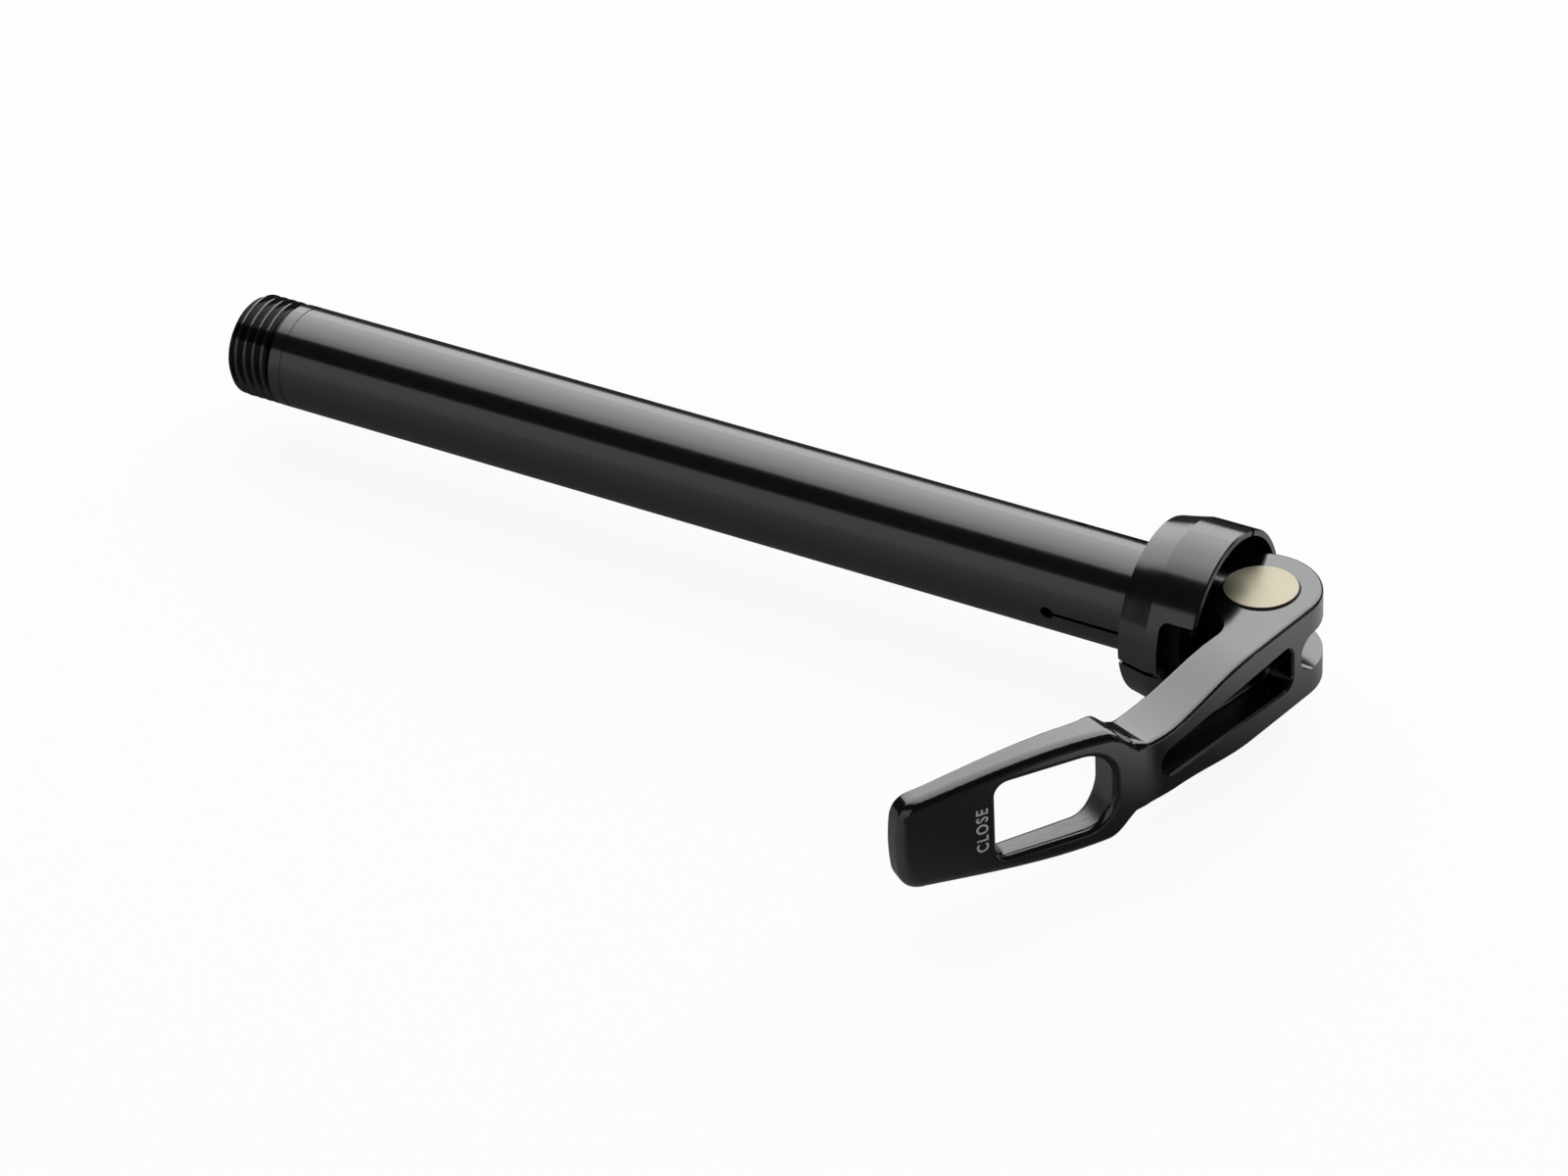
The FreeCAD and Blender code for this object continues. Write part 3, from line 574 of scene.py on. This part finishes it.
word.matrix_world = Matrix.Translation(spot) @ axes @ to_size @ Matrix.Translation(-corner)
bpy.ops.object.transform_apply(location=True, rotation=True, scale=True)
print("word faces:", len(word.data.polygons))

# %% Print it
PALE_GREY = (0.5, 0.5, 0.49, 1.0)
PRINT_ROUGHNESS = 0.5
PRINT_GRAIN = 4000.0
PRINT_GRAIN_ROUGHNESS = 0.1

ink = Finish("pale_print")
word.data.materials.append(ink.close(
    Base_Color=PALE_GREY,
    Roughness=PRINT_ROUGHNESS + ink.noise(PRINT_GRAIN) * PRINT_GRAIN_ROUGHNESS))
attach(word, "handle")
print("word rides on the handle")

# %% [markdown]
# ## The floor and the background
# A product picture on white needs a white floor that still holds a soft shadow. The floor is a
# pale sheet at the axle's lowest point. Straight from the camera it is mixed with plain white by
# Light Path, which changes nothing in how it lights the axle. A gloss black surface mirrors the
# floor, and there we paint the floor's mirror image in greys, as if black and pale cards lay round
# the axle: painted reflections. They darken under and behind the shank, a painted shadow of the
# shank in its mirror image. They turn pale in a band beside the arm and the neck, a painted
# reflection, and stay dark beside the handle's tip. Each ramp holds the greys along one direction,
# and soft borders blend the ramps.

# %% Floor
FLOOR_SIZE = 6.0
FLOOR_LIFT = 0.92
# Painted shade in the mirrored floor: grey in front of the shank, dark under and behind it.
ALONG_SHANK_Y = (-0.08, 0.04)
SHANK_PAINTED_SHADE_GREYS = ((0.0, 0.27), (0.45, 0.18), (0.66, 0.07), (0.8, 0.045), (1.0, 0.045))
# Painted reflection: a pale band in the mirrored floor beside the arm and the neck.
BY_ARM_XY = (-0.03, 0.21)
ARM_PAINTED_REFLECTION_GREYS = (
    (0.0, 0.04), (0.18, 0.06), (0.25, 0.24), (0.31, 0.5),
    (0.38, 0.72), (0.46, 0.6), (0.6, 0.1), (1.0, 0.04))
# Painted reflection beside the handle, dark again beside its tip.
BY_HANDLE_X = (0.02, 0.1)
HANDLE_PAINTED_REFLECTION_GREYS = (
    (0.0, 0.06), (0.11, 0.09), (0.21, 0.35), (0.3, 0.6), (0.375, 0.5), (0.56, 0.1), (1.0, 0.04))
LEVER_SIDE_X = (-0.005, 0.02)
HANDLE_SIDE_Y = (-0.025, -0.032)
TIP_SIDE_Y = (-0.05, -0.064)
TIP_GREY = 0.08
SHEET_GREY = (0.8, 0.8, 0.8, 1.0)
WHITE = (1.0, 1.0, 1.0, 1.0)

floor = start_piece(
    "floor", bpy.ops.mesh.primitive_plane_add, size=FLOOR_SIZE, location=(0, 0, cad_box[0][2]))[0]
bpy.ops.object.mode_set(mode="OBJECT")


def seen_as(tree, kind, shader, share, gloss_color):
    """Shows white where the camera looks straight at a surface, and another shade in a mirror."""
    straight = tree.node(kind, {}, {"Color": WHITE, "Strength": 1.0})
    gloss = tree.node(kind, {}, {"Color": gloss_color, "Strength": 1.0})
    mirrored = tree.node("ShaderNodeMixShader", {}, {
        0: tree.node("ShaderNodeLightPath", {}, {}, "Is Glossy Ray"), 1: shader, 2: gloss})
    direct = tree.node("ShaderNodeMath", {"operation": "MAXIMUM"}, {
        0: tree.node("ShaderNodeLightPath", {}, {}, "Is Camera Ray"),
        1: tree.node("ShaderNodeLightPath", {}, {}, "Is Transmission Ray")})
    return tree.node("ShaderNodeMixShader", {}, {0: direct * share, 1: mirrored, 2: straight})


paper = Finish("floor")
x, y = paper.split(paper.place())[:2]


def greys_along(value, span, stops):
    """A ramp of greys over a span of a coordinate."""
    share = paper.node("ShaderNodeMapRange", {}, {
        "Value": value, "From Min": span[0], "From Max": span[1]})
    return paper.node("ShaderNodeValToRGB", {"stops": stops}, {0: share})


def soft_side(value, span):
    """0 on one side of a soft border and 1 on the other."""
    return paper.node("ShaderNodeMapRange", {"interpolation_type": "SMOOTHSTEP"}, {
        "Value": value, "From Min": span[0], "From Max": span[1]})


by_lever = soft_side(x, LEVER_SIDE_X)
by_handle = soft_side(y, HANDLE_SIDE_Y)
by_tip = soft_side(y, TIP_SIDE_Y)
handle_grey = greys_along(x, BY_HANDLE_X, HANDLE_PAINTED_REFLECTION_GREYS) * (1 - by_tip) + by_tip * TIP_GREY
arm_grey = greys_along(x + y, BY_ARM_XY, ARM_PAINTED_REFLECTION_GREYS)
lever_grey = arm_grey * (1 - by_handle) + handle_grey * by_handle
shank_grey = greys_along(y, ALONG_SHANK_Y, SHANK_PAINTED_SHADE_GREYS)
# The painted reflections and painted shadow that gloss rays see in the floor.
painted_reflection_grey = shank_grey * (1 - by_lever) + lever_grey * by_lever
sheet = paper.node("ShaderNodeBsdfDiffuse", {}, {"Color": SHEET_GREY})
paper.end("ShaderNodeOutputMaterial", seen_as(
    paper, "ShaderNodeEmission", sheet, FLOOR_LIFT, painted_reflection_grey))
floor.data.materials.append(paper.material)
print("floor at z in mm:", round(cad_box[0][2] / MM, 2))

# %% Sky behind the floor
ROOM_LIGHT = 0.04
ROOM_COLOR = (0.9, 0.95, 1.0, 1.0)
ROOM_IN_A_MIRROR = (0.03, 0.03, 0.03, 1.0)

world = bpy.data.worlds.new("studio")
world.use_nodes = True
bpy.context.scene.world = world
sky = Tree(world.node_tree)
room = sky.node("ShaderNodeBackground", {}, {"Color": ROOM_COLOR, "Strength": ROOM_LIGHT})
sky.end("ShaderNodeOutputWorld", seen_as(sky, "ShaderNodeBackground", room, 1.0, ROOM_IN_A_MIRROR))
print("room light:", ROOM_LIGHT)

# %% [markdown]
# ## The light
# On gloss black, what we see of the metal is the mirror image of the lamps. One big soft box
# stands over and behind the axle and draws the long grey band along the top of the shank. A dim
# card in front draws the faint sheen below it, and the gap between the two stays black. A small
# dim card low at the back, past the lever's end, gives a trace of shine to the faces that are
# turned that way. We give each lamp its radiance, the brightness of its face, and work out the
# watts: radiance times pi times the area. A ramp over the big box's face dims it towards its
# front edge, as a real soft box dims towards its rim.


# %% Soft boxes
LAMP_DISTANCE = 1.5


def panel(name, turn_up, middle_x, size, radiance, stops):
    """A soft box that faces the shank, turned up from level in front over the top to the back."""
    data = bpy.data.lights.new(name, "AREA")
    data.shape = "RECTANGLE"
    data.size, data.size_y = size
    data.energy = radiance * math.pi * size[0] * size[1]
    data.use_nodes = True
    face = Tree(data.node_tree)
    across = face.split(face.node("ShaderNodeNewGeometry", {}, {}, "Parametric"))[1]
    grey = face.node("ShaderNodeValToRGB", {"stops": stops}, {0: across})
    face.end("ShaderNodeOutputLight", face.node("ShaderNodeEmission", {}, {"Color": grey}))
    lamp = bpy.data.objects.new(name, data)
    bpy.context.collection.objects.link(lamp)
    angle = math.radians(turn_up)
    place = Vector((middle_x, -math.cos(angle) * LAMP_DISTANCE, math.sin(angle) * LAMP_DISTANCE))
    lamp.matrix_world = Matrix.Translation(place) @ Matrix.Rotation(math.pi / 2 - angle, 4, "X")
    lamp.visible_camera = False


panel("soft_box", turn_up=122.0, middle_x=-0.5, size=(3.0, 3.24), radiance=4.2, stops=(
    (0.0, 0.24), (0.12, 0.27), (0.26, 0.4), (0.46, 0.5), (0.65, 0.62), (0.8, 0.57), (1.0, 0.4)))
panel("front_card", turn_up=17.0, middle_x=-0.3, size=(2.4, 0.95), radiance=0.42, stops=(
    (0.0, 0.8), (1.0, 1.0)))
panel("rear_card", turn_up=152.0, middle_x=1.75, size=(0.9, 1.2), radiance=0.35, stops=(
    (0.0, 1.0), (1.0, 0.6)))
lamps = [piece for piece in bpy.data.objects if piece.type == "LIGHT"]
print("lamps in watts:", {lamp.name: round(lamp.data.energy, 1) for lamp in lamps})

# %% Update the scene and set the view transform
bpy.context.view_layer.update()
bpy.context.scene.view_settings.view_transform = "Standard"
